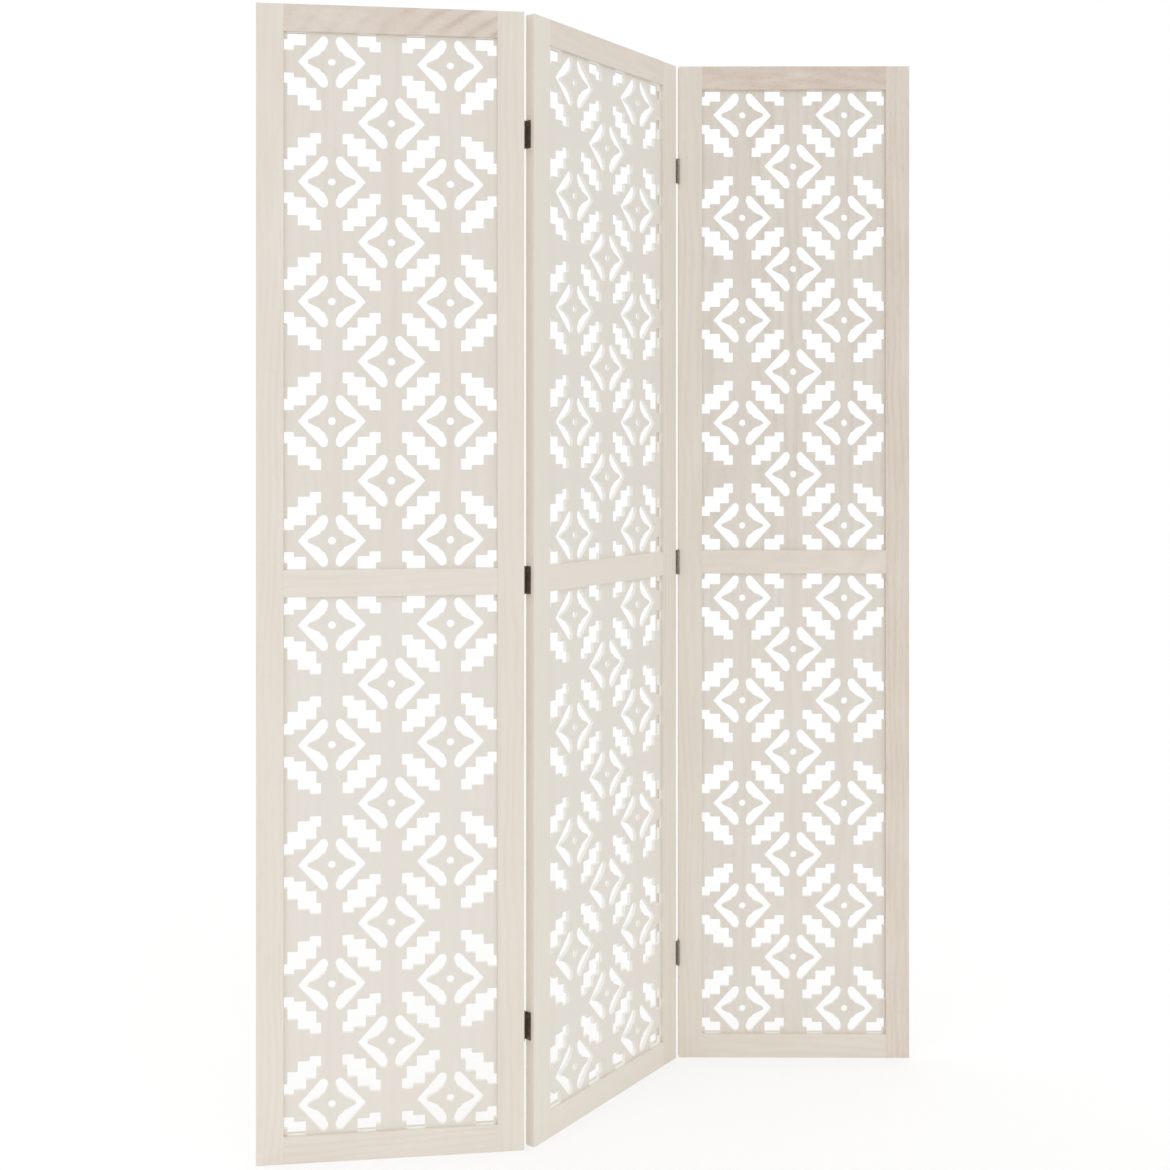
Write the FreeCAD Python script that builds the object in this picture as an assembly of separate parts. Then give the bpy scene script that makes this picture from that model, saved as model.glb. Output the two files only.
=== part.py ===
import FreeCAD, Part

import math
import os

# A folding screen of three equal leaves in whitewashed wood, standing open in a zigzag.
# Each leaf is a frame of two stiles and three rails that holds two pierced jali panels
# in its grooves. Butt hinges join the leaves. Sizes are in millimetres.
# The front of the screen faces -Y, +Z is up, and the origin is on the floor,
# at the middle of the ground that the open screen covers.

# Leaves
screen_height = 1700.0
leaf_width = 395.0
leaf_thickness = 16.0
stile_width = 40.0
end_rail_width = 40.0
middle_rail_width = 40.0

# The angle of each leaf in plan, in degrees, as the screen stands open
left_leaf_angle = 6.7
middle_leaf_angle = 51.3
right_leaf_angle = -0.3

# Panels, and the grooves that hold them and the tongues of the rails
panel_thickness = 6.0
groove_depth = 8.0
groove_side_clearance = 0.1
groove_end_clearance = 0.4

# The jali: cut-outs of two overlapping squares, and pairs of chevrons that make diamonds.
# The land is what is left beside the outer cut-outs, and the end rows stand over the opening's edge.
step_land = 1.25
end_row_overhang = 1.9
# The rest is in shares of a quarter pitch, across by the quarter across and up by the quarter up,
# so that the pattern fits its opening
step_reach_share = 0.57
step_notch_share = 0.068
diamond_reach_share = 1.138
throat_reach_share = 0.752
post_edge_share = 0.114
tip_edge_share = 0.273

# Hinges: two plates that turn on a pin, laid on the edges of the stiles and screwed there.
# Barrels and pins are drawn with a few flat sides, which is enough at their size.
hinge_height = 42.0
hinge_end_distance = 159.0
plate_thickness = 1.2
plate_setback = 6.0
plate_gap = 0.6
knuckle_count = 3
knuckle_end_gap = 0.3
knuckle_face_clearance = 0.2
pin_radius = 1.25
pin_hold_clearance = 0.02
pin_running_clearance = 0.05
pin_end = 0.5
barrel_sides = 8
pin_sides = 6

# How far a cutting tool runs past the piece that it cuts
overrun = 1.0

# Sizes that follow from the ones above
half_width = leaf_width / 2
half_thickness = leaf_thickness / 2
opening_width = leaf_width - 2 * stile_width
opening_height = (screen_height - 2 * end_rail_width - middle_rail_width) / 2
half_opening = opening_width / 2
groove_width = panel_thickness + 2 * groove_side_clearance
tongue_length = groove_depth - groove_end_clearance
lower_panel_height = end_rail_width + opening_height / 2
upper_panel_height = screen_height - end_rail_width - opening_height / 2

# The jali repeats on a grid of quarter pitches: two diamonds in one row, one in the next.
# The outer cut-outs stand on the third quarter from the middle, and the end rows on the ninth.
outer_column = 3
end_row = 9
quarter_across = (half_opening - step_land) / (outer_column + step_reach_share)
quarter_up = (opening_height / 2 + end_row_overhang) / end_row

# The hinge pins stand clear of the leaf's face, in the middle of the gap between two leaves
leaf_gap = 2 * plate_thickness + plate_gap
knuckle_radius = pin_radius + pin_running_clearance + plate_thickness
axis_across = half_width + leaf_gap / 2
axis_through = half_thickness + knuckle_radius + knuckle_face_clearance
lower_hinge_middle = hinge_end_distance + hinge_height / 2
hinge_heights = {
    "lower": lower_hinge_middle,
    "middle": screen_height / 2,
    "upper": screen_height - lower_hinge_middle,
}

LEFT = -1
RIGHT = 1
FRONT = -1
BACK = 1
BELOW = -1
ABOVE = 1


def block(across, through, up):
    """A box between two places along each of X, Y and Z, in either order."""
    low = [min(span) for span in (across, through, up)]
    high = [max(span) for span in (across, through, up)]
    length, width, height = [top - bottom for bottom, top in zip(low, high)]
    return Part.makeBox(length, width, height, FreeCAD.Vector(*low))


def stile(end):
    """An upright of the frame, grooved along its inner edge."""
    body = block(
        (end * half_opening, end * half_width),
        (-half_thickness, half_thickness),
        (0, screen_height),
    )
    groove = block(
        (end * (half_opening - overrun), end * (half_opening + groove_depth)),
        (-groove_width / 2, groove_width / 2),
        (-overrun, screen_height + overrun),
    )
    return body.cut(groove)


def rail(bottom, width, grooved_edges):
    """A crosspiece with a tongue on each end, grooved along the edges that meet a panel."""
    top = bottom + width
    body = block((-half_opening, half_opening), (-half_thickness, half_thickness), (bottom, top))
    tongue_end = half_opening + tongue_length
    tongues = block(
        (-tongue_end, tongue_end),
        (-panel_thickness / 2, panel_thickness / 2),
        (bottom, top),
    )
    shape = body.fuse(tongues)
    for edge in grooved_edges:
        face = bottom if edge == BELOW else top
        groove = block(
            (-tongue_end - overrun, tongue_end + overrun),
            (-groove_width / 2, groove_width / 2),
            (face + edge * overrun, face - edge * groove_depth),
        )
        shape = shape.cut(groove)
    return shape.removeSplitter()


def outline(points):
    """A closed wire in the front face of a panel, through (across, up) points in millimetres."""
    corners = [FreeCAD.Vector(across, -panel_thickness / 2, up) for across, up in points]
    return Part.makePolygon(corners + corners[:1])


def grid_outline(points):
    """A closed wire through points in quarter pitches from the middle of the panel."""
    return outline([(across * quarter_across, up * quarter_up) for across, up in points])


def lean_of(column, row):
    """The way a stepped cut-out leans: 1 falls to the right and -1 rises to the right."""
    return 1 if (column + row) % 4 == 0 else -1


def step_outlines():
    """Stepped cut-outs on every odd quarter of the grid, each lying along a diamond's side."""
    reach = step_reach_share
    notch = step_notch_share
    squares = [
        (-reach, reach),
        (notch, reach),
        (notch, notch),
        (reach, notch),
        (reach, -reach),
        (-notch, -reach),
        (-notch, -notch),
        (-reach, -notch),
    ]
    wires = []
    for column in range(-outer_column, outer_column + 1, 2):
        for row in range(2 - end_row, end_row, 2):
            lean = lean_of(column, row)
            wires.append(grid_outline([(column + lean * across, row + up) for across, up in squares]))
    return wires


def end_row_outlines():
    """The cut-outs of the end rows, of which the rails leave one square each."""
    rail_edge = end_row - end_row_overhang / quarter_up
    wires = []
    for column in range(-outer_column, outer_column + 1, 2):
        for end in (BELOW, ABOVE):
            lean = lean_of(column, end * end_row)
            near = column + end * lean * step_reach_share
            far = column - end * lean * step_notch_share
            inner_edge = end * (end_row - step_reach_share)
            wires.append(grid_outline([
                (near, end * rail_edge),
                (far, end * rail_edge),
                (far, inner_edge),
                (near, inner_edge),
            ]))
    return wires


def chevron_outlines():
    """Two facing chevrons in every diamond, kept apart by an upright post."""
    reach = diamond_reach_share
    throat = throat_reach_share
    post = post_edge_share
    tip = tip_edge_share
    arm = [
        (reach, 0),
        (tip, reach - tip),
        (post, throat - post),
        (throat, 0),
        (post, post - throat),
        (tip, tip - reach),
    ]
    wires = []
    half_rows = (end_row - 1) // 2
    for row in range(-half_rows, half_rows + 1):
        columns = (-1, 1) if row % 2 == 0 else (0,)
        for column in columns:
            for side in (LEFT, RIGHT):
                wires.append(grid_outline([
                    (2 * column + side * across, 2 * row + up) for across, up in arm
                ]))
    return wires


def jali_panel(middle_height):
    """A pierced panel that fills the grooves round one opening of the frame."""
    across = half_opening + tongue_length
    up = opening_height / 2 + tongue_length
    edge = outline([(-across, -up), (across, -up), (across, up), (-across, up)])
    cutouts = step_outlines() + end_row_outlines() + chevron_outlines()
    face = Part.makeFace([edge] + cutouts, "Part::FaceMakerBullseye")
    panel = face.extrude(FreeCAD.Vector(0, panel_thickness, 0))
    panel.translate(FreeCAD.Vector(0, 0, middle_height))
    return panel


def leaf(end_names):
    """The pieces of one leaf, with its middle at the origin and its front towards -Y."""
    left_name, right_name = end_names
    top_rail_bottom = screen_height - end_rail_width
    middle_rail_bottom = (screen_height - middle_rail_width) / 2
    return {
        left_name + "_stile": stile(LEFT),
        right_name + "_stile": stile(RIGHT),
        "top_rail": rail(top_rail_bottom, end_rail_width, [BELOW]),
        "middle_rail": rail(middle_rail_bottom, middle_rail_width, [BELOW, ABOVE]),
        "bottom_rail": rail(0, end_rail_width, [ABOVE]),
        "upper_jali_panel": jali_panel(upper_panel_height),
        "lower_jali_panel": jali_panel(lower_panel_height),
    }


def rod(radius, sides, base, length):
    """An upright rod with flat sides, whose corners lie at the radius."""
    corners = []
    for side in range(sides):
        angle = 2 * math.pi * side / sides
        corners.append(base + radius * FreeCAD.Vector(math.cos(angle), math.sin(angle), 0))
    face = Part.Face(Part.makePolygon(corners + corners[:1]))
    return face.extrude(FreeCAD.Vector(0, 0, length))


def hinge_plate(end, face, height, first_knuckle, hole_clearance):
    """A plate on the edge of a stile, with every second knuckle of the hinge's barrel."""
    edge = end * half_width
    span = (edge, edge + end * plate_thickness)
    bottom = height - hinge_height / 2
    axis = FreeCAD.Vector(end * axis_across, face * axis_through, bottom)
    shape = block(
        span,
        (face * half_thickness, face * (plate_setback - half_thickness)),
        (bottom, bottom + hinge_height),
    )
    length = (hinge_height - (knuckle_count - 1) * knuckle_end_gap) / knuckle_count
    for knuckle in range(first_knuckle, knuckle_count, 2):
        start = bottom + knuckle * (length + knuckle_end_gap)
        neck = block(span, (face * half_thickness, axis.y), (start, start + length))
        barrel_base = FreeCAD.Vector(axis.x, axis.y, start)
        barrel = rod(knuckle_radius, barrel_sides, barrel_base, length)
        shape = shape.fuse([neck, barrel])
    # The sides of the hole stand clear of the pin's corners at every angle of the fold
    hole_radius = (pin_radius + hole_clearance) / math.cos(math.pi / pin_sides)
    hole = rod(hole_radius, pin_sides, axis, hinge_height)
    return shape.cut(hole).removeSplitter()


def hinge_pin(end, face, height):
    """A pin that stands a little out of the barrel at both ends."""
    length = hinge_height + 2 * pin_end
    base = FreeCAD.Vector(end * axis_across, face * axis_through, height - length / 2)
    return rod(pin_radius, pin_sides, base, length)


def turned(across, through, angle):
    """A place on a leaf in plan, after the leaf turns about its own middle."""
    return FreeCAD.Rotation(FreeCAD.Vector(0, 0, 1), angle) * FreeCAD.Vector(across, through, 0)


def plan_corners(middle, angle):
    """The corners of a leaf in plan."""
    return [
        middle + turned(end * half_width, face * half_thickness, angle)
        for end in (LEFT, RIGHT)
        for face in (FRONT, BACK)
    ]


# The left fold has its pins behind the leaves, and the right fold in front of them
left_axis = turned(-axis_across, axis_through, middle_leaf_angle)
right_axis = turned(axis_across, -axis_through, middle_leaf_angle)
angles = {"left": left_leaf_angle, "middle": middle_leaf_angle, "right": right_leaf_angle}
middles = {
    "left": left_axis - turned(axis_across, axis_through, left_leaf_angle),
    "middle": FreeCAD.Vector(0, 0, 0),
    "right": right_axis - turned(-axis_across, -axis_through, right_leaf_angle),
}

# The origin moves to the middle of the ground that the leaves cover
corners = [corner for side in angles for corner in plan_corners(middles[side], angles[side])]
ground_middle = FreeCAD.Vector(
    (min(corner.x for corner in corners) + max(corner.x for corner in corners)) / 2,
    (min(corner.y for corner in corners) + max(corner.y for corner in corners)) / 2,
    0,
)
places = {
    side: FreeCAD.Placement(
        middles[side] - ground_middle,
        FreeCAD.Rotation(FreeCAD.Vector(0, 0, 1), angles[side]),
    )
    for side in angles
}

stile_names = {
    "left": ("outer", "hinge"),
    "middle": ("left", "right"),
    "right": ("hinge", "outer"),
}
pieces = {}
for side, place in places.items():
    for name, shape in leaf(stile_names[side]).items():
        pieces[side + "_leaf_" + name] = (shape, place)
# The plate on the outer leaf has the end knuckles, which hold the pin
for side, end, face in (("left", RIGHT, BACK), ("right", LEFT, FRONT)):
    for level, height in hinge_heights.items():
        outer_plate = hinge_plate(end, face, height, 0, pin_hold_clearance)
        inner_plate = hinge_plate(-end, face, height, 1, pin_running_clearance)
        pin = hinge_pin(end, face, height)
        hinge = side + "_fold_" + level + "_hinge_"
        pieces[hinge + "outer_plate"] = (outer_plate, places[side])
        pieces[hinge + "inner_plate"] = (inner_plate, places["middle"])
        pieces[hinge + "pin"] = (pin, places[side])

os.makedirs("parts", exist_ok=True)
for name, (shape, place) in pieces.items():
    placed = shape.copy()
    placed.Placement = place * shape.Placement
    placed.exportStep(os.path.join("parts", name + ".step"))

for fold, axis in (("left fold", left_axis), ("right fold", right_axis)):
    print(fold, "axis at", axis - ground_middle)
for side, place in places.items():
    print(side, "leaf middle at", place.Base)
print("quarter pitches", quarter_across, quarter_up)
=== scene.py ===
import math
import random

import bmesh
import bpy
from mathutils import Matrix, Vector


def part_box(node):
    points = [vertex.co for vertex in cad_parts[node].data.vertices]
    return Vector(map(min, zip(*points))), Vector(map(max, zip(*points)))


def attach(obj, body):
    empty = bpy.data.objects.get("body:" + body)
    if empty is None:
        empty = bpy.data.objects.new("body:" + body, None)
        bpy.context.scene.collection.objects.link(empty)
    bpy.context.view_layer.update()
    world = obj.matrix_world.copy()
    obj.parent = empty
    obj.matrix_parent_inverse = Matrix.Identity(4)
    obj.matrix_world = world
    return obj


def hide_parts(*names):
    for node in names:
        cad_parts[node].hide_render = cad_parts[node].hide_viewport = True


# The looks of a folding screen: limewashed frames with pierced jali panels in their grooves,
# and bronzed butt hinges between the leaves. Sizes are in millimetres unless a name says metres.
# A leaf is drawn with its middle at the origin and its front towards -Y, and then set in place.

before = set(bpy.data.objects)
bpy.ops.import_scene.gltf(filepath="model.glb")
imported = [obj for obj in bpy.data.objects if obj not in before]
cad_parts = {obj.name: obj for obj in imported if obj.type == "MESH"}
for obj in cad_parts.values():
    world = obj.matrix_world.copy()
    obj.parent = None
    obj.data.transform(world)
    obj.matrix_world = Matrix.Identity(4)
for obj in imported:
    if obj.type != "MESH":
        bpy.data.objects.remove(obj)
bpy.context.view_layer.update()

METRE = 1000.0
log_attribute = "place_in_log"
wash_and_light_attribute = "wash_and_painted_light"
ring_attribute = "ring_strength"
year_attribute = "ring_width"
edge_attribute = "sawn_edge"
LEFT = -1
RIGHT = 1
FRONT = -1
BACK = 1

# Edges that turn by more than this stay sharp
sharp_angle = math.radians(30)

# The angle of each leaf in plan, in degrees
leaf_angles = {"left": 6.7, "middle": 51.3, "right": -0.3}
stile_names = {
    "left": ("outer_stile", "hinge_stile"),
    "middle": ("left_stile", "right_stile"),
    "right": ("hinge_stile", "outer_stile"),
}
rail_names = ("top_rail", "middle_rail", "bottom_rail")
panel_names = ("upper_jali_panel", "lower_jali_panel")

# Leaves and panels
screen_height = 1700.0
leaf_width = 395.0
leaf_thickness = 16.0
leaf_gap = 3.0
opening_width = 315.0
opening_height = 790.0
panel_thickness = 6.0
panel_tongue = 7.6
half_width = leaf_width / 2
half_thickness = leaf_thickness / 2

# How much of the lime wash a board kept and how strongly its growth rings show, both from 0 to 1,
# and how wide a year's ring is in millimetres. The wash kept is partly each board's own tone and
# partly painted light: it is set high on the middle leaf, which turns away from the lamps, and low
# on the right leaf, further from them, standing in for the light that falls off to the right.
board_looks = {
    "left_leaf_outer_stile": (0.87, 0.45, 9),
    "left_leaf_hinge_stile": (0.87, 0.45, 9),
    "left_leaf_top_rail": (0.64, 0.7, 14),
    "left_leaf_middle_rail": (0.9, 0.45, 9),
    "left_leaf_bottom_rail": (0.85, 0.45, 9),
    "left_leaf_upper_jali_panel": (0.84, 0.45, 15),
    "left_leaf_lower_jali_panel": (0.92, 0.45, 15),
    "middle_leaf_left_stile": (0.96, 0.5, 9),
    "middle_leaf_right_stile": (0.87, 0.5, 9),
    "middle_leaf_top_rail": (0.79, 0.25, 11),
    "middle_leaf_middle_rail": (0.96, 0.45, 9),
    "middle_leaf_bottom_rail": (0.95, 0.4, 9),
    "middle_leaf_upper_jali_panel": (0.98, 0.45, 15),
    "middle_leaf_lower_jali_panel": (1.0, 0.45, 15),
    "right_leaf_hinge_stile": (0.82, 0.35, 9),
    "right_leaf_outer_stile": (0.66, 0.3, 9),
    "right_leaf_top_rail": (0.44, 0.12, 14),
    "right_leaf_middle_rail": (0.8, 0.4, 9),
    "right_leaf_bottom_rail": (0.84, 0.4, 9),
    "right_leaf_upper_jali_panel": (0.69, 0.45, 15),
    "right_leaf_lower_jali_panel": (0.8, 0.45, 15),
}

# The share of their strength that a rail's rings have at its left end, where they fade out
faded_ends = {"left_leaf_top_rail": 0.25}

# How far behind and above the middle of a rail the heart of its log lay, in millimetres, and how
# many degrees the grain runs out of the rail's face
rail_cuts = {
    "left_leaf_top_rail": (102, -42, -20),
    "left_leaf_middle_rail": (120, 70, 1.5),
    "left_leaf_bottom_rail": (60, -90, -3),
    "middle_leaf_top_rail": (110, 60, -5),
    "middle_leaf_middle_rail": (130, -80, 2),
    "middle_leaf_bottom_rail": (80, 90, 3),
    "right_leaf_top_rail": (95, 45, -9),
    "right_leaf_middle_rail": (70, 4, 7),
    "right_leaf_bottom_rail": (70, -70, 3),
}

# For stiles and panels these are drawn at random: how far to one side of the board and how far
# behind it the heart lay, each from and to, and the most that the grain runs out of the face
stile_heart_aside = (55, 100)
stile_heart_behind = (30, 90)
stile_lean = 0.8
panel_heart_aside = (-90, 90)
panel_heart_behind = (60, 120)
panel_lean = 1.5

# By how many degrees one board's lean differs from another's, and how many metres up or down its
# log a board may have been
lean_spread = 0.6
log_reach = 3

# How far sandpaper has taken the edges off
rim_ease = 0.7
joint_ease = 0.3
fret_ease = 0.4

# The jali's grid, in quarter pitches: two diamonds in one row and one in the next
quarter_across = 43.75
quarter_up = 44.1
outer_column = 3
end_row = 9

# A stepped cut-out about its middle: four squares down a diagonal, in half sizes
step_tip = 28.0
step_shoulder = 21.0
step_block = 11.6
step_notch = 6.0
router_radius = 1.2

# Half of a chevron about the middle of its diamond: (across, up, radius of the corner)
chevron_half = [
    (50.0, 0.0, 1.5),
    (5.7, 48.3, 6.3),
    (5.7, 27.5, 3.0),
    (10.6, 16.8, 1.2),
    (15.2, 14.2, 1.2),
    (18.6, 9.7, 1.2),
    (39.5, 0.0, 3.0),
]
dot_radius = 5.7

# Hinges. The pin stands in the middle of the gap between two leaves, clear of their faces. A
# knuckle's neck overlaps the plate by its root.
hinge_height = 42.0
plate_thickness = 1.2
plate_setback = 6.0
plate_corner = 1.0
plate_ease = 0.12
knuckle_radius = 2.5
knuckle_bore = 1.32
knuckle_count = 3
knuckle_end_gap = 0.3
knuckle_face_clearance = 0.2
knuckle_root = 1.0
knuckle_ease = 0.15
pin_radius = 1.25
pin_end = 0.5
pin_length = hinge_height + 2 * pin_end
pin_ease = 0.4
axis_across = half_width + leaf_gap / 2
axis_through = half_thickness + knuckle_radius + knuckle_face_clearance
hole_sides = 24
barrel_sides = 32

# Countersunk screws, how far each is turned in degrees, the cross cut in its head, in half sizes,
# and the disc inside the head that closes the cross from below
screw_end_distance = 7.0
screw_radius = 2.2
screw_rise = 0.08
screw_ease = 0.1
screw_turns = (25, 75)
cross_reach = 1.3
cross_width = 0.36
cross_depth = 0.7
disc_inset = 0.2
disc_thickness = 0.3
disc_sink = 0.1
disc_ease = 0.05

# The floor: how far it reaches in metres, how white its paint is to the camera, and how much glow
# is mixed into it there
floor_reach = 14.0
floor_white = 0.887
floor_glow = 1.14
floor_glow_share = 0.5

# The floor's paint is whiter near the screen for the light it throws back, and greyer further off,
# though the camera sees it evenly white: a painted pool of light round the screen's foot, so that
# the screen is lightest there. The pool gives way to the greyer floor between these two distances
# from the middle, in metres.
painted_pool_white = 0.98
room_floor_white = 0.74
painted_pool_end = (0.8, 2.5)

# The room's light in front of the screen and behind it, and the lamps. Places are in metres.
room_front = 0.83
room_behind = 1.07
sun_strength = 0.31
sun_spread = 60
sun_direction = (-0.35, 1.0, -0.2)
softbox_power = 2.8
softbox_side = 1.6
softbox_place = (-1.3, -1.6, 1.3)
softbox_target = (-0.35, 0, 0.95)

# Camera, in metres and in pixels of a picture 1170 across
picture_side = 1170.0
camera_place = (-0.14325, -2.27958, 1.07033)
focal_pixels = 1430.4
centre_across = 517.886
centre_down = 433.47
sensor_width = 36.0


def linear(hex_colour):
    """An sRGB hex colour as linear red, green, blue and alpha."""
    channels = [int(hex_colour[place:place + 2], 16) / 255 for place in (1, 3, 5)]
    return tuple(
        value / 12.92 if value <= 0.04045 else ((value + 0.055) / 1.055) ** 2.4
        for value in channels
    ) + (1.0,)


def add_node(tree, kind, settings=None, inputs=None):
    """Adds a node, gives it its settings, and fills or links its inputs."""
    node = tree.nodes.new(kind)
    for name, value in (settings or {}).items():
        setattr(node, name, value)
    for name, value in (inputs or {}).items():
        socket = node.inputs[name]
        if isinstance(value, bpy.types.NodeSocket):
            tree.links.new(value, socket)
        else:
            socket.default_value = value
    return node


def new_material(name):
    """An empty material and its node tree."""
    material = bpy.data.materials.new(name)
    material.use_nodes = True
    material.node_tree.nodes.clear()
    return material, material.node_tree


def streaks(tree, place, across, along, detail, roughness=0.55):
    """Soft noise, so many millimetres across the grain and along it."""
    space = add_node(
        tree,
        "ShaderNodeMapping",
        inputs={"Vector": place, "Scale": (METRE / across, METRE / across, METRE / along)},
    )
    noise = add_node(
        tree,
        "ShaderNodeTexNoise",
        inputs={
            "Vector": space.outputs["Vector"],
            "Scale": 1.0,
            "Detail": detail,
            "Roughness": roughness,
        },
    )
    return noise.outputs


# How many millimetres the ring pattern has from one ring to the next at a scale of 1
plain_ring_width = math.pi / 10 * METRE


def limewashed_wood(name, bare, late, wash, painted_edge_light, wander_reach, figure):
    """Pale sawn wood, sanded and brushed with a thin lime wash. The chalky coat is matt, and
    growth rings and fibres show faintly through it, most where the coat is thin. The pattern is
    laid out in the log that the board was sawn from: the grain runs along Z, rings lie about it."""
    material, tree = new_material(name)
    place = add_node(tree, "ShaderNodeAttribute", {"attribute_name": log_attribute}).outputs["Vector"]
    wash_and_light_share, strong, year, sawn = (
        add_node(tree, "ShaderNodeAttribute", {"attribute_name": name}).outputs["Fac"]
        for name in (wash_and_light_attribute, ring_attribute, year_attribute, edge_attribute)
    )

    # Growth rings that wander a little, and show more in some years than in others
    wander = streaks(tree, place, 70, 320, 2.0)["Color"]
    shift = add_node(
        tree,
        "ShaderNodeVectorMath",
        {"operation": "MULTIPLY_ADD"},
        {0: wander, 1: (wander_reach / METRE,) * 3, 2: place},
    )
    ring_scale = add_node(
        tree, "ShaderNodeMath", {"operation": "DIVIDE"}, {0: plain_ring_width, 1: year}
    )
    rings = add_node(
        tree,
        "ShaderNodeTexWave",
        {"wave_type": "RINGS", "rings_direction": "Z", "wave_profile": "SIN"},
        {
            "Vector": shift.outputs["Vector"],
            "Scale": ring_scale.outputs["Value"],
            "Distortion": 0.0,
            "Detail": 0.0,
        },
    )
    narrow = add_node(
        tree, "ShaderNodeMath", {"operation": "POWER"}, {0: rings.outputs["Fac"], 1: 2.0}
    )
    dry_years = add_node(
        tree,
        "ShaderNodeMapRange",
        inputs={
            "Value": streaks(tree, place, 38, 700, 1.0)["Fac"],
            "From Min": 0.35,
            "From Max": 0.65,
            "To Min": 0.35,
        },
    )
    marked_years = add_node(
        tree,
        "ShaderNodeMath",
        {"operation": "MULTIPLY"},
        {0: narrow.outputs["Value"], 1: dry_years.outputs["Result"]},
    )
    late_wood = add_node(
        tree,
        "ShaderNodeMath",
        {"operation": "MULTIPLY"},
        {0: marked_years.outputs["Value"], 1: strong},
    )

    # Fibres of a tenth of a millimetre are too fine to show, so they are drawn 2 mm wide
    fibres = streaks(tree, place, 2.0, 110, 3.0)["Fac"]
    # Pores are drawn 1.2 mm wide for the same reason
    pores = add_node(
        tree,
        "ShaderNodeMapRange",
        {"interpolation_type": "SMOOTHSTEP"},
        {"Value": streaks(tree, place, 1.2, 16, 1.0)["Fac"], "From Min": 0.58, "From Max": 0.72},
    )

    # Wood colour: early wood, darker late wood, and the fibres' own tone
    wood_tone = add_node(
        tree,
        "ShaderNodeMath",
        {"operation": "MULTIPLY_ADD"},
        {0: fibres, 1: 0.9, 2: late_wood.outputs["Value"]},
    )
    wood_share = add_node(
        tree,
        "ShaderNodeMapRange",
        inputs={"Value": wood_tone.outputs["Value"], "From Min": 0.25, "From Max": 1.4},
    )
    wood_colour = add_node(
        tree,
        "ShaderNodeMix",
        {"data_type": "RGBA"},
        {0: wood_share.outputs["Result"], 6: linear(bare), 7: linear(late)},
    )

    # The coat covers the plain wood, and misses a little more on late rings, along the brush's
    # strokes, on pores and in patches. A board that kept less of it misses more everywhere; how much
    # a board kept is partly painted light and shade between the leaves.
    brush_strokes = streaks(tree, place, 9, 190, 3.0)["Fac"]
    patches = streaks(tree, place, 45, 160, 2.0)["Fac"]
    thinned = -0.2
    for pattern, share in (
        (late_wood.outputs["Value"], figure),
        (brush_strokes, 0.9),
        (pores.outputs["Result"], 0.5),
        (patches, 1.2),
    ):
        thinned = add_node(
            tree, "ShaderNodeMath", {"operation": "MULTIPLY_ADD"}, {0: pattern, 1: share, 2: thinned}
        ).outputs["Value"]
    missed = add_node(tree, "ShaderNodeMath", {"operation": "SUBTRACT"}, {0: 1.0, 1: wash_and_light_share})
    bared = add_node(
        tree,
        "ShaderNodeMath",
        {"operation": "MULTIPLY", "use_clamp": True},
        {0: thinned, 1: missed.outputs["Value"]},
    )
    # The sawn edges of the cut-outs are painted whiter than the faces: painted light, which brightens
    # the sides of the holes where the lamps reach less
    coat = add_node(
        tree,
        "ShaderNodeMix",
        {"data_type": "RGBA"},
        {0: sawn, 6: linear(wash), 7: linear(painted_edge_light)},
    )
    colour = add_node(
        tree,
        "ShaderNodeMix",
        {"data_type": "RGBA"},
        {0: bared.outputs["Value"], 6: coat.outputs[2], 7: wood_colour.outputs[2]},
    )

    # The brush leaves the fibres just standing, and the pores just open
    relief = add_node(
        tree,
        "ShaderNodeMath",
        {"operation": "MULTIPLY_ADD"},
        {0: pores.outputs["Result"], 1: -0.6, 2: fibres},
    )
    bump = add_node(
        tree,
        "ShaderNodeBump",
        inputs={"Strength": 0.4, "Distance": 0.15 / METRE, "Height": relief.outputs["Value"]},
    )
    roughness = add_node(
        tree,
        "ShaderNodeMapRange",
        inputs={"Value": bared.outputs["Value"], "To Min": 0.78, "To Max": 0.5},
    )
    shader = add_node(
        tree,
        "ShaderNodeBsdfPrincipled",
        inputs={
            "Base Color": colour.outputs[2],
            "Roughness": roughness.outputs["Result"],
            "Normal": bump.outputs["Normal"],
            "IOR": 1.5,
            "Specular IOR Level": 0.35,
        },
    )
    add_node(tree, "ShaderNodeOutputMaterial", inputs={"Surface": shader.outputs["BSDF"]})
    return material


def bronzed_steel(name, dark, rubbed, roughness):
    """Pressed steel with a dark antique bronze coat, satin, rubbed a little lighter in places."""
    material, tree = new_material(name)
    place = add_node(tree, "ShaderNodeTexCoord").outputs["Object"]
    rub = streaks(tree, place, 3, 9, 4.0, roughness=0.6)["Fac"]
    share = add_node(
        tree, "ShaderNodeMapRange", inputs={"Value": rub, "From Min": 0.4, "From Max": 0.75}
    )
    colour = add_node(
        tree,
        "ShaderNodeMix",
        {"data_type": "RGBA"},
        {0: share.outputs["Result"], 6: linear(dark), 7: linear(rubbed)},
    )
    satin = add_node(
        tree,
        "ShaderNodeMapRange",
        inputs={"Value": rub, "To Min": roughness - 0.08, "To Max": roughness + 0.12},
    )
    bump = add_node(
        tree, "ShaderNodeBump", inputs={"Strength": 0.2, "Distance": 0.03 / METRE, "Height": rub}
    )
    shader = add_node(
        tree,
        "ShaderNodeBsdfPrincipled",
        inputs={
            "Base Color": colour.outputs[2],
            "Metallic": 0.85,
            "Roughness": satin.outputs["Result"],
            "Normal": bump.outputs["Normal"],
        },
    )
    add_node(tree, "ShaderNodeOutputMaterial", inputs={"Surface": shader.outputs["BSDF"]})
    return material


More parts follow.
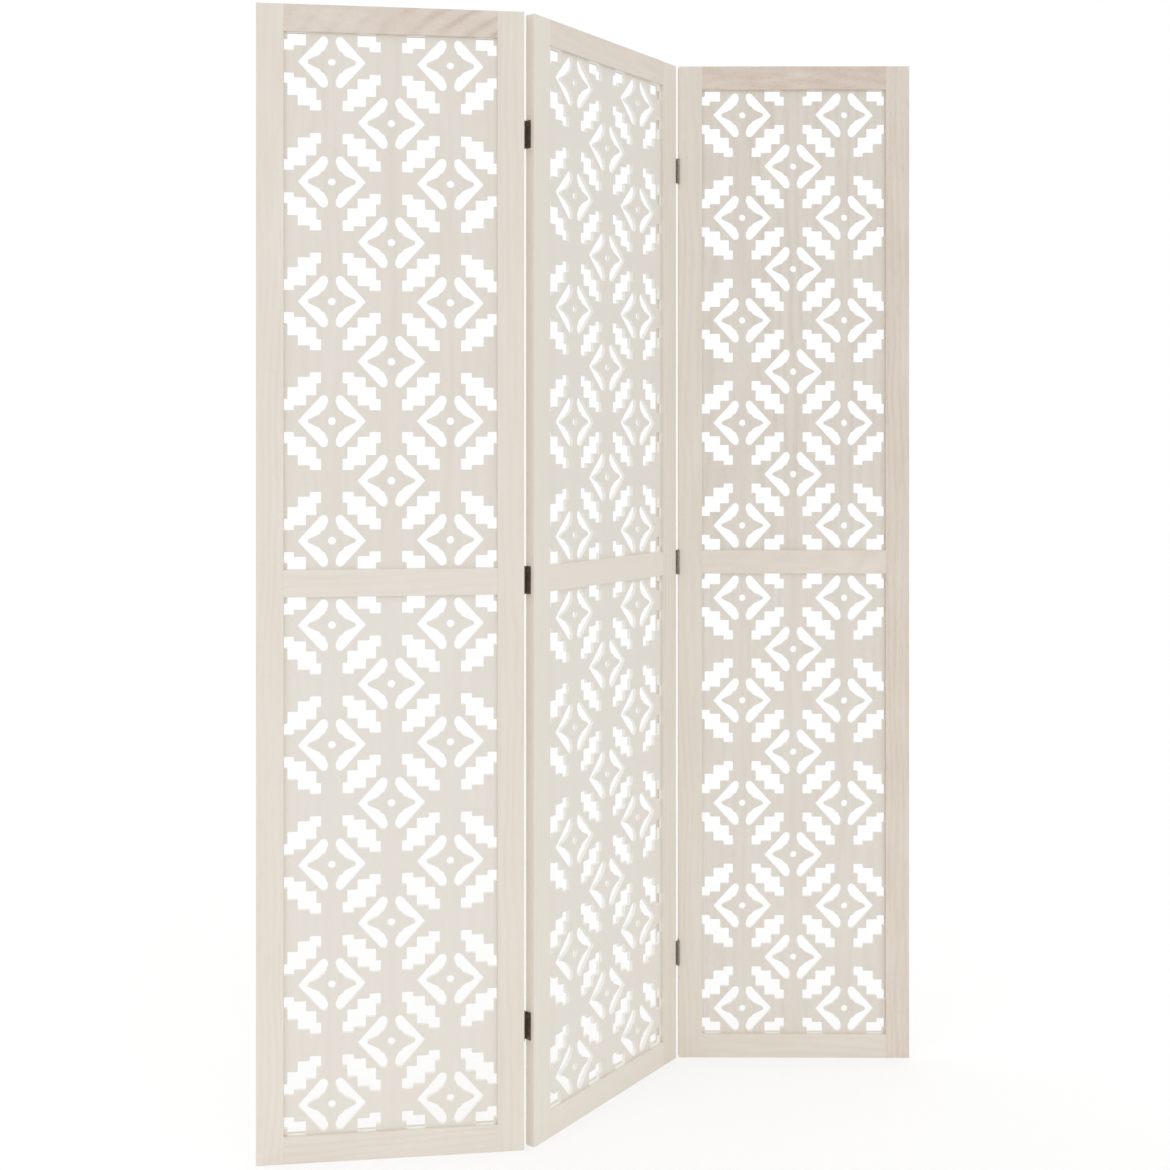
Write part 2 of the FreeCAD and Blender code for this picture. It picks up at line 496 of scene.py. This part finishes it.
frame_wood = limewashed_wood(
    "limewashed_paulownia",
    bare="#CCB3A2",
    late="#A5856F",
    wash="#EAE4DA",
    painted_edge_light="#F2EDE5",
    wander_reach=32.0,
    figure=0.8,
)
jali_wood = limewashed_wood(
    "limewashed_plywood",
    bare="#CFBFAE",
    late="#A99C8C",
    wash="#E8E3DB",
    # A whiter colour for the sides of the cut-outs: painted light
    painted_edge_light="#F8F6F1",
    wander_reach=34.0,
    figure=0.35,
)
hinge_metal = bronzed_steel("bronzed_steel", dark="#7A6F64", rubbed="#A29588", roughness=0.42)
screw_metal = bronzed_steel("bronzed_screw_steel", dark="#857A6E", rubbed="#ABA092", roughness=0.36)


def in_scene(name, data):
    """A new object in the scene."""
    thing = bpy.data.objects.new(name, data)
    bpy.context.scene.collection.objects.link(thing)
    return thing


def oblong(left, right, low, high):
    """The corners of a rectangle, anticlockwise."""
    return [(left, low), (right, low), (right, high), (left, high)]


def rounded(corners, steps=4):
    """The corners of an outline, each given as (across, up, radius), turned into short arcs."""
    points = []
    for number, (across, up, radius) in enumerate(corners):
        corner = Vector((across, up))
        before = Vector(corners[number - 1][:2])
        after = Vector(corners[(number + 1) % len(corners)][:2])
        arriving = (before - corner).normalized()
        leaving = (after - corner).normalized()
        half_angle = arriving.angle(leaving) / 2
        reach = radius / math.tan(half_angle)
        centre = corner + (arriving + leaving).normalized() * radius / math.sin(half_angle)
        start = corner + arriving * reach - centre
        sweep = start.angle_signed(corner + leaving * reach - centre)
        for step in range(steps + 1):
            arm = start.copy()
            arm.rotate(Matrix.Rotation(-sweep * step / steps, 2))
            points.append(tuple(centre + arm))
    return points


def ring(radius, steps, across=0.0, up=0.0):
    """A circle as an outline."""
    turns = [2 * math.pi * step / steps for step in range(steps)]
    return [(across + radius * math.cos(turn), up + radius * math.sin(turn)) for turn in turns]


def wound(points, anticlockwise):
    """The outline, in the direction asked for."""
    area = sum(
        first[0] * second[1] - second[0] * first[1]
        for first, second in zip(points, points[1:] + points[:1])
    )
    return points if (area > 0) == anticlockwise else points[::-1]


def even_fill(body):
    """Turns the thin triangles of the flat faces into better ones, so that no lines show there."""
    for method in ("AREA", "ANGLE"):
        flat = [
            face for face in body.faces
            if len({round(vert.co.z * METRE, 3) for vert in face.verts}) == 1
        ]
        chosen = set(flat)
        edges = [edge for edge in body.edges if all(face in chosen for face in edge.link_faces)]
        bmesh.ops.beautify_fill(body, faces=flat, edges=edges, method=method)


def sawn_sheet(name, edge, holes, thickness, ease):
    """A flat sheet with holes and eased edges, in metres, lying in X and Y with its middle at Z 0."""
    curve = bpy.data.curves.new(name, "CURVE")
    curve.dimensions = "2D"
    curve.fill_mode = "BOTH"
    curve.extrude = (thickness / 2 - ease) / METRE
    curve.bevel_depth = ease / METRE
    curve.bevel_resolution = 0
    curve.offset = -ease / METRE
    for number, outline in enumerate([edge] + holes):
        points = wound(outline, anticlockwise=number == 0)
        spline = curve.splines.new("POLY")
        spline.points.add(len(points) - 1)
        for point, (across, up) in zip(spline.points, points):
            point.co = (across / METRE, up / METRE, 0, 1)
        spline.use_cyclic_u = True
    drawn = in_scene(name, curve)
    bpy.context.view_layer.update()
    mesh = bpy.data.meshes.new_from_object(
        drawn.evaluated_get(bpy.context.evaluated_depsgraph_get())
    )
    bpy.data.objects.remove(drawn)
    bpy.data.curves.remove(curve)
    mesh.name = name
    body = bmesh.new()
    body.from_mesh(mesh)
    bmesh.ops.remove_doubles(body, verts=body.verts, dist=0.002 / METRE)
    bmesh.ops.recalc_face_normals(body, faces=body.faces)
    even_fill(body)
    body.to_mesh(mesh)
    body.free()
    for face in mesh.polygons:
        face.use_smooth = True
    mesh.set_sharp_from_angle(angle=sharp_angle)
    return mesh


def set_piece(name, mesh, place, body, material, nodes=()):
    """Makes an object of a mesh, puts it in place, sets it on the body that it rides on, and hides the
    CAD nodes that it stands for.
    """
    mesh.materials.clear()
    mesh.materials.append(material)
    piece = in_scene(name, mesh)
    piece.matrix_world = place
    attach(piece, body)
    if nodes:
        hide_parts(*nodes)


def box_middle(node):
    """The middle of a CAD node's box."""
    low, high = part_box(node)
    return (low + high) / 2


def leaf_place(side):
    """Where a leaf stands: its middle rail is its middle in plan."""
    middle = box_middle(side + "_leaf_middle_rail")
    turn = Matrix.Rotation(math.radians(leaf_angles[side]), 4, "Z")
    return Matrix.Translation((middle.x, middle.y, 0)) @ turn


def sawn_from_log(mesh, node, middle, along, heart, lean):
    """Stores where each point of a board lay in its log, whose heart is the Z axis, and the
    board's looks. The heart is given in the leaf's directions, off the board's middle, and the
    lean is by how many degrees the grain runs out of the board's face."""
    draw = random.Random(node)
    turn = Matrix.Identity(4) if along == "up" else Matrix.Rotation(math.radians(90), 4, "Y")
    lean_axis = "X" if along == "up" else "Z"
    lean += draw.uniform(-lean_spread, lean_spread)
    out_of_face = Matrix.Rotation(math.radians(lean), 4, lean_axis)
    heart_place = Vector(heart) / METRE + middle
    slid = Matrix.Translation((0, 0, draw.uniform(-log_reach, log_reach)))
    to_log = (Matrix.Translation(heart_place) @ out_of_face @ turn @ slid).inverted()
    places = mesh.attributes.new(log_attribute, "FLOAT_VECTOR", "POINT")
    for place, vert in zip(places.data, mesh.vertices):
        place.vector = to_log @ vert.co
    # The wash kept is partly the board's own tone and partly painted light, as board_looks says
    wash, strength, year = board_looks[node]
    left = min(vert.co.x for vert in mesh.vertices)
    length = max(vert.co.x for vert in mesh.vertices) - left
    for name, value, left_share in (
        (wash_and_light_attribute, wash, 1),
        (ring_attribute, strength, faded_ends.get(node, 1)),
        (year_attribute, year, 1),
    ):
        shares = mesh.attributes.new(name, "FLOAT", "POINT")
        for share, vert in zip(shares.data, mesh.vertices):
            way = (vert.co.x - left) / length
            share.value = value * (left_share + (1 - left_share) * way)


def mark_sawn_edges(mesh):
    """Stores which points of a sheet, still about its middle, lie on the sides of its cut-outs."""
    inside = (panel_thickness / 2 - fret_ease / 2) / METRE
    shares = mesh.attributes.new(edge_attribute, "FLOAT", "POINT")
    for share, vert in zip(shares.data, mesh.vertices):
        share.value = 1.0 if abs(vert.co.y) < inside else 0.0


def eased_member(node, place):
    """A copy of a frame member, drawn about the leaf's middle, with its edges sanded."""
    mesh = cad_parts[node].data.copy()
    mesh.name = node + ".sanded"
    mesh.transform(place.inverted())
    body = bmesh.new()
    body.from_mesh(mesh)
    bmesh.ops.remove_doubles(body, verts=body.verts, dist=0.01 / METRE)
    bmesh.ops.dissolve_limit(
        body, angle_limit=math.radians(1), verts=body.verts, edges=body.edges
    )
    near_enough = 0.05
    sharp_joint = math.radians(60)

    def at(value, target):
        return abs(value * METRE - target) < near_enough

    def shows(edge):
        return any(at(abs(vert.co.y), half_thickness) for vert in edge.verts)

    def on_rim(edge):
        beside = all(at(abs(vert.co.x), half_width) for vert in edge.verts)
        level = all(at(vert.co.z, 0) or at(vert.co.z, screen_height) for vert in edge.verts)
        joint = all(at(abs(vert.co.x), opening_width / 2) for vert in edge.verts)
        return (beside or level) and not joint

    for chosen, ease, segments in ((True, rim_ease, 3), (False, joint_ease, 1)):
        edges = [edge for edge in body.edges if shows(edge) and on_rim(edge) == chosen]
        if not chosen:
            edges = [edge for edge in edges if edge.calc_face_angle(0) > sharp_joint]
        bmesh.ops.bevel(
            body,
            geom=edges,
            offset=ease / METRE,
            segments=segments,
            profile=0.5,
            affect="EDGES",
            clamp_overlap=True,
        )
    body.to_mesh(mesh)
    body.free()
    return mesh


# Frames
for side in leaf_angles:
    place = leaf_place(side)
    for name in stile_names[side] + rail_names:
        node = side + "_leaf_" + name
        mesh = eased_member(node, place)
        middle = place.inverted() @ box_middle(node)
        if name in rail_names:
            behind, above, lean = rail_cuts[node]
            heart = (0, behind, above)
            along = "across"
        else:
            draw = random.Random(node)
            aside = draw.choice((LEFT, RIGHT)) * draw.uniform(*stile_heart_aside)
            heart = (aside, draw.uniform(*stile_heart_behind), 0)
            lean = draw.uniform(-stile_lean, stile_lean)
            along = "up"
        sawn_from_log(mesh, node, middle, along, heart, lean)
        set_piece(node + ".sanded", mesh, place, side + "_leaf", frame_wood, [node])


def stepped_outline(column, row):
    """A stepped cut-out at a place in the grid, leaning along the side of its diamond."""
    lean = 1 if (column + row) % 4 == 0 else -1
    half = [
        (-step_tip, step_tip),
        (-step_block, step_tip),
        (-step_block, step_shoulder),
        (step_notch, step_shoulder),
        (step_notch, step_notch),
        (step_shoulder, step_notch),
        (step_shoulder, -step_block),
        (step_tip, -step_block),
    ]
    corners = half + [(-across, -up) for across, up in half]
    return rounded([
        (column * quarter_across + lean * across, row * quarter_up + up, router_radius)
        for across, up in corners
    ], steps=2)


def end_row_outline(column, end):
    """The part of a stepped cut-out that the rail leaves open: one square and the tip."""
    lean = 1 if (column + end * end_row) % 4 == 0 else -1
    side = end * lean
    rail_edge = end_row * quarter_up - opening_height / 2
    corners = [
        (step_tip, step_tip),
        (step_block, step_tip),
        (step_block, step_shoulder),
        (-step_notch, step_shoulder),
        (-step_notch, rail_edge),
        (step_shoulder, rail_edge),
        (step_shoulder, step_block),
        (step_tip, step_block),
    ]
    return rounded([
        (column * quarter_across + side * across, end * (end_row * quarter_up - up), router_radius)
        for across, up in corners
    ], steps=2)


def diamond_outlines(column, row):
    """The two chevrons of a diamond and the round hole in its middle."""
    middle_across = 2 * column * quarter_across
    middle_up = 2 * row * quarter_up
    lower_half = [(across, -up, radius) for across, up, radius in chevron_half[-2:0:-1]]
    outlines = [ring(dot_radius, hole_sides, middle_across, middle_up)]
    for side in (LEFT, RIGHT):
        outlines.append(rounded([
            (middle_across + side * across, middle_up + up, radius)
            for across, up, radius in chevron_half + lower_half
        ]))
    return outlines


def jali_sheet():
    """The pierced panel, standing upright with its middle at the origin."""
    across = opening_width / 2 + panel_tongue
    up = opening_height / 2 + panel_tongue
    holes = []
    for column in range(-outer_column, outer_column + 1, 2):
        holes += [stepped_outline(column, row) for row in range(2 - end_row, end_row, 2)]
        holes += [end_row_outline(column, end) for end in (-1, 1)]
    half_rows = (end_row - 1) // 2
    for row in range(-half_rows, half_rows + 1):
        for column in (-1, 1) if row % 2 == 0 else (0,):
            holes += diamond_outlines(column, row)
    edge = oblong(-across, across, -up, up)
    sheet = sawn_sheet("jali_fretwork", edge, holes, panel_thickness, fret_ease)
    sheet.transform(Matrix.Rotation(math.radians(90), 4, "X"))
    mark_sawn_edges(sheet)
    return sheet


# Panels
fretwork = jali_sheet()
for side in leaf_angles:
    place = leaf_place(side)
    for name in panel_names:
        node = side + "_leaf_" + name
        middle = place.inverted() @ box_middle(node)
        mesh = fretwork.copy()
        mesh.name = node + ".fretwork"
        mesh.transform(Matrix.Translation(middle))
        draw = random.Random(node)
        heart = (draw.uniform(*panel_heart_aside), draw.uniform(*panel_heart_behind), 0)
        sawn_from_log(mesh, node, middle, "up", heart, draw.uniform(-panel_lean, panel_lean))
        set_piece(node + ".fretwork", mesh, place, side + "_leaf", jali_wood, [node])
bpy.data.meshes.remove(fretwork)


def joined(name, parts):
    """One mesh of several, each given with the matrix that puts it in place."""
    body = bmesh.new()
    for mesh, place in parts:
        mesh.transform(place)
        body.from_mesh(mesh)
        bpy.data.meshes.remove(mesh)
    mesh = bpy.data.meshes.new(name)
    body.to_mesh(mesh)
    body.free()
    mesh.set_sharp_from_angle(angle=sharp_angle)
    return mesh


# Turns a sheet that lies in X and Y so that it lies on the edge of a stile, in Y and Z
on_edge = Matrix(((0, 0, 1, 0), (1, 0, 0, 0), (0, 1, 0, 0), (0, 0, 0, 1)))


def moved(across, through, up):
    """A shift, given in millimetres."""
    return Matrix.Translation(Vector((across, through, up)) / METRE)


def hinge_plate(name, end, face, first_knuckle):
    """A plate that lies on the edge of a stile, with its rolled knuckles, about the hinge's middle."""
    near, far = sorted((face * half_thickness, face * (plate_setback - half_thickness)))
    half_height = hinge_height / 2
    edge = rounded([
        (through, up, plate_corner) for through, up in oblong(near, far, -half_height, half_height)
    ])
    screw_up = half_height - screw_end_distance
    holes = [ring(screw_radius, hole_sides, (near + far) / 2, up) for up in (-screw_up, screw_up)]
    plate = sawn_sheet("plate", edge, holes, plate_thickness, plate_ease)
    parts = [(plate, moved(end * (half_width + plate_thickness / 2), 0, 0) @ on_edge)]

    # A knuckle in plan, about the pin: the plate runs on past the leaf's face and rolls round
    inner = half_width - axis_across
    neck = sorted((end * inner, end * (inner + plate_thickness)))
    roll_start, roll_end = (
        math.atan2(math.sqrt(knuckle_radius ** 2 - across ** 2), across) for across in neck
    )
    sweep = 2 * math.pi + roll_end - roll_start
    turns = [roll_start + sweep * step / barrel_sides for step in range(barrel_sides + 1)]
    outline = [
        (knuckle_radius * math.cos(turn), -face * knuckle_radius * math.sin(turn)) for turn in turns
    ]
    root = face * (half_thickness - knuckle_root - axis_through)
    outline += [(neck[1], root), (neck[0], root)]
    bore = ring(knuckle_bore, barrel_sides)
    length = (hinge_height - (knuckle_count - 1) * knuckle_end_gap) / knuckle_count
    for knuckle in range(first_knuckle, knuckle_count, 2):
        up = -half_height + knuckle * (length + knuckle_end_gap) + length / 2
        rolled = sawn_sheet("knuckle", outline, [bore], length, knuckle_ease)
        parts.append((rolled, moved(end * axis_across, face * axis_through, up)))
    return joined(name, parts)


def cross_outline():
    """The cross in a screw's head. Each arm is the one before it, a quarter turn on."""
    arm = [(cross_reach, -cross_width), (cross_reach, cross_width), (cross_width, cross_width)]
    corners = []
    for quarter in range(4):
        corners += arm
        arm = [(-up, across) for across, up in arm]
    return corners


def hinge_screws(name, end, face):
    """Two countersunk screws with a cross recess, set flush in a plate."""
    through = face * plate_setback / 2
    parts = []
    top = half_width + plate_thickness + screw_rise
    screw_up = hinge_height / 2 - screw_end_distance
    head_edge = ring(screw_radius, hole_sides)
    disc_edge = ring(screw_radius - disc_inset, hole_sides)
    head_across = end * (top - cross_depth / 2)
    disc_across = end * (top - cross_depth - disc_sink)
    for degrees, up in zip(screw_turns, (-screw_up, screw_up)):
        turn = Matrix.Rotation(math.radians(degrees), 4, "Z")
        head = sawn_sheet("head", head_edge, [cross_outline()], cross_depth, screw_ease)
        disc = sawn_sheet("disc", disc_edge, [], disc_thickness, disc_ease)
        parts.append((head, moved(head_across, through, up) @ on_edge @ turn))
        parts.append((disc, moved(disc_across, through, up) @ on_edge))
    return joined(name, parts)


# Hinges
for fold, end, face in (("left", RIGHT, BACK), ("right", LEFT, FRONT)):
    for level in ("lower", "middle", "upper"):
        hinge = fold + "_fold_" + level + "_hinge_"
        height = box_middle(hinge + "pin").z * METRE
        for plate, side, plate_end, first in (
            ("outer_plate", fold, end, 0),
            ("inner_plate", "middle", -end, 1),
        ):
            place = leaf_place(side) @ moved(0, 0, height)
            body = side + "_leaf"
            node = hinge + plate
            mesh = hinge_plate(node + ".rolled", plate_end, face, first)
            set_piece(node + ".rolled", mesh, place, body, hinge_metal, [node])
            screws = hinge_screws(node + ".screws", plate_end, face)
            set_piece(node + ".screws", screws, place, body, screw_metal)
        pin_edge = ring(pin_radius, barrel_sides)
        pin = sawn_sheet(hinge + "pin.turned", pin_edge, [], pin_length, pin_ease)
        place = leaf_place(fold) @ moved(end * axis_across, face * axis_through, height)
        set_piece(
            hinge + "pin.turned", pin, place, fold + "_leaf", hinge_metal,
            [hinge + "pin"],
        )


def seen_rays(tree):
    """1 for the rays that show the camera the white background, straight on, in a reflection or
    through something clear, and 0 for the rays that light the screen."""
    rays = add_node(tree, "ShaderNodeLightPath").outputs
    seen = add_node(
        tree,
        "ShaderNodeMath",
        {"operation": "MAXIMUM"},
        {0: rays["Is Camera Ray"], 1: rays["Is Glossy Ray"]},
    )
    seen_or_clear = add_node(
        tree,
        "ShaderNodeMath",
        {"operation": "MAXIMUM"},
        {0: seen.outputs["Value"], 1: rays["Is Transmission Ray"]},
    )
    return seen_or_clear.outputs["Value"]


# A white floor that keeps the screen's shadow, under plain soft light
floor_mesh = bpy.data.meshes.new("floor")
floor_corners = oblong(-floor_reach, floor_reach, -floor_reach, floor_reach)
floor_mesh.from_pydata([(x, y, 0) for x, y in floor_corners], [], [(0, 1, 2, 3)])
floor = in_scene("floor", floor_mesh)

floor_paint, tree = new_material("white_studio_floor")
seen = seen_rays(tree)
glow_share = add_node(
    tree, "ShaderNodeMath", {"operation": "MULTIPLY"}, {0: seen, 1: floor_glow_share}
)
place = add_node(tree, "ShaderNodeTexCoord").outputs["Object"]
distance = add_node(tree, "ShaderNodeVectorMath", {"operation": "LENGTH"}, {0: place})
# Painted pool of light: near the screen the floor throws back more light than it shows the camera
thrown_back = add_node(
    tree,
    "ShaderNodeMapRange",
    inputs={
        "Value": distance.outputs["Value"],
        "From Min": painted_pool_end[0],
        "From Max": painted_pool_end[1],
        "To Min": painted_pool_white,
        "To Max": room_floor_white,
    },
)
whiteness = add_node(
    tree,
    "ShaderNodeMapRange",
    inputs={"Value": seen, "To Min": thrown_back.outputs["Result"], "To Max": floor_white},
)
paint = add_node(tree, "ShaderNodeBsdfDiffuse", inputs={"Color": whiteness.outputs["Result"]})
glow = add_node(tree, "ShaderNodeEmission", inputs={"Color": (1, 1, 1, 1), "Strength": floor_glow})
blend = add_node(
    tree,
    "ShaderNodeMixShader",
    inputs={0: glow_share.outputs["Value"], 1: paint.outputs["BSDF"], 2: glow.outputs["Emission"]},
)
add_node(tree, "ShaderNodeOutputMaterial", inputs={"Surface": blend.outputs["Shader"]})
floor_mesh.materials.append(floor_paint)

world = bpy.data.worlds.new("studio")
bpy.context.scene.world = world
world.use_nodes = True
tree = world.node_tree
tree.nodes.clear()

# The wall behind the screen is lit a little more than the room in front of it
direction = add_node(tree, "ShaderNodeTexCoord").outputs["Generated"]
way = add_node(tree, "ShaderNodeSeparateXYZ", inputs={"Vector": direction}).outputs
room = add_node(
    tree,
    "ShaderNodeMapRange",
    inputs={
        "Value": way["Y"],
        "From Min": -1.0,
        "From Max": 1.0,
        "To Min": room_front,
        "To Max": room_behind,
    },
)
soft_light = add_node(
    tree,
    "ShaderNodeBackground",
    inputs={"Color": (1, 1, 1, 1), "Strength": room.outputs["Result"]},
)
backdrop = add_node(tree, "ShaderNodeBackground", inputs={"Color": (1, 1, 1, 1), "Strength": 1.0})
sky = add_node(
    tree,
    "ShaderNodeMixShader",
    inputs={
        0: seen_rays(tree),
        1: soft_light.outputs["Background"],
        2: backdrop.outputs["Background"],
    },
)
add_node(tree, "ShaderNodeOutputWorld", inputs={"Surface": sky.outputs["Shader"]})


def pointed(lamp, direction):
    """Turns a lamp so that it shines in a direction."""
    lamp.rotation_euler = direction.to_track_quat("-Z", "Y").to_euler()


sun = bpy.data.lights.new("softbox_wall", "SUN")
sun.energy = sun_strength
sun.angle = math.radians(sun_spread)
pointed(in_scene("softbox_wall", sun), Vector(sun_direction))

softbox = bpy.data.lights.new("softbox", "AREA")
softbox.shape = "SQUARE"
softbox.size = softbox_side
softbox.energy = softbox_power
softbox_object = in_scene("softbox", softbox)
softbox_object.location = softbox_place
pointed(softbox_object, Vector(softbox_target) - softbox_object.location)

camera = bpy.data.cameras.new("camera")
camera.sensor_fit = "HORIZONTAL"
camera.sensor_width = sensor_width
camera.lens = focal_pixels * sensor_width / picture_side
camera.shift_x = (picture_side / 2 - centre_across) / picture_side
camera.shift_y = (centre_down - picture_side / 2) / picture_side
camera_object = in_scene("camera", camera)
camera_object.location = camera_place
camera_object.rotation_euler = (math.radians(90), 0, 0)
bpy.context.scene.camera = camera_object
bpy.context.scene.view_settings.view_transform = "Standard"
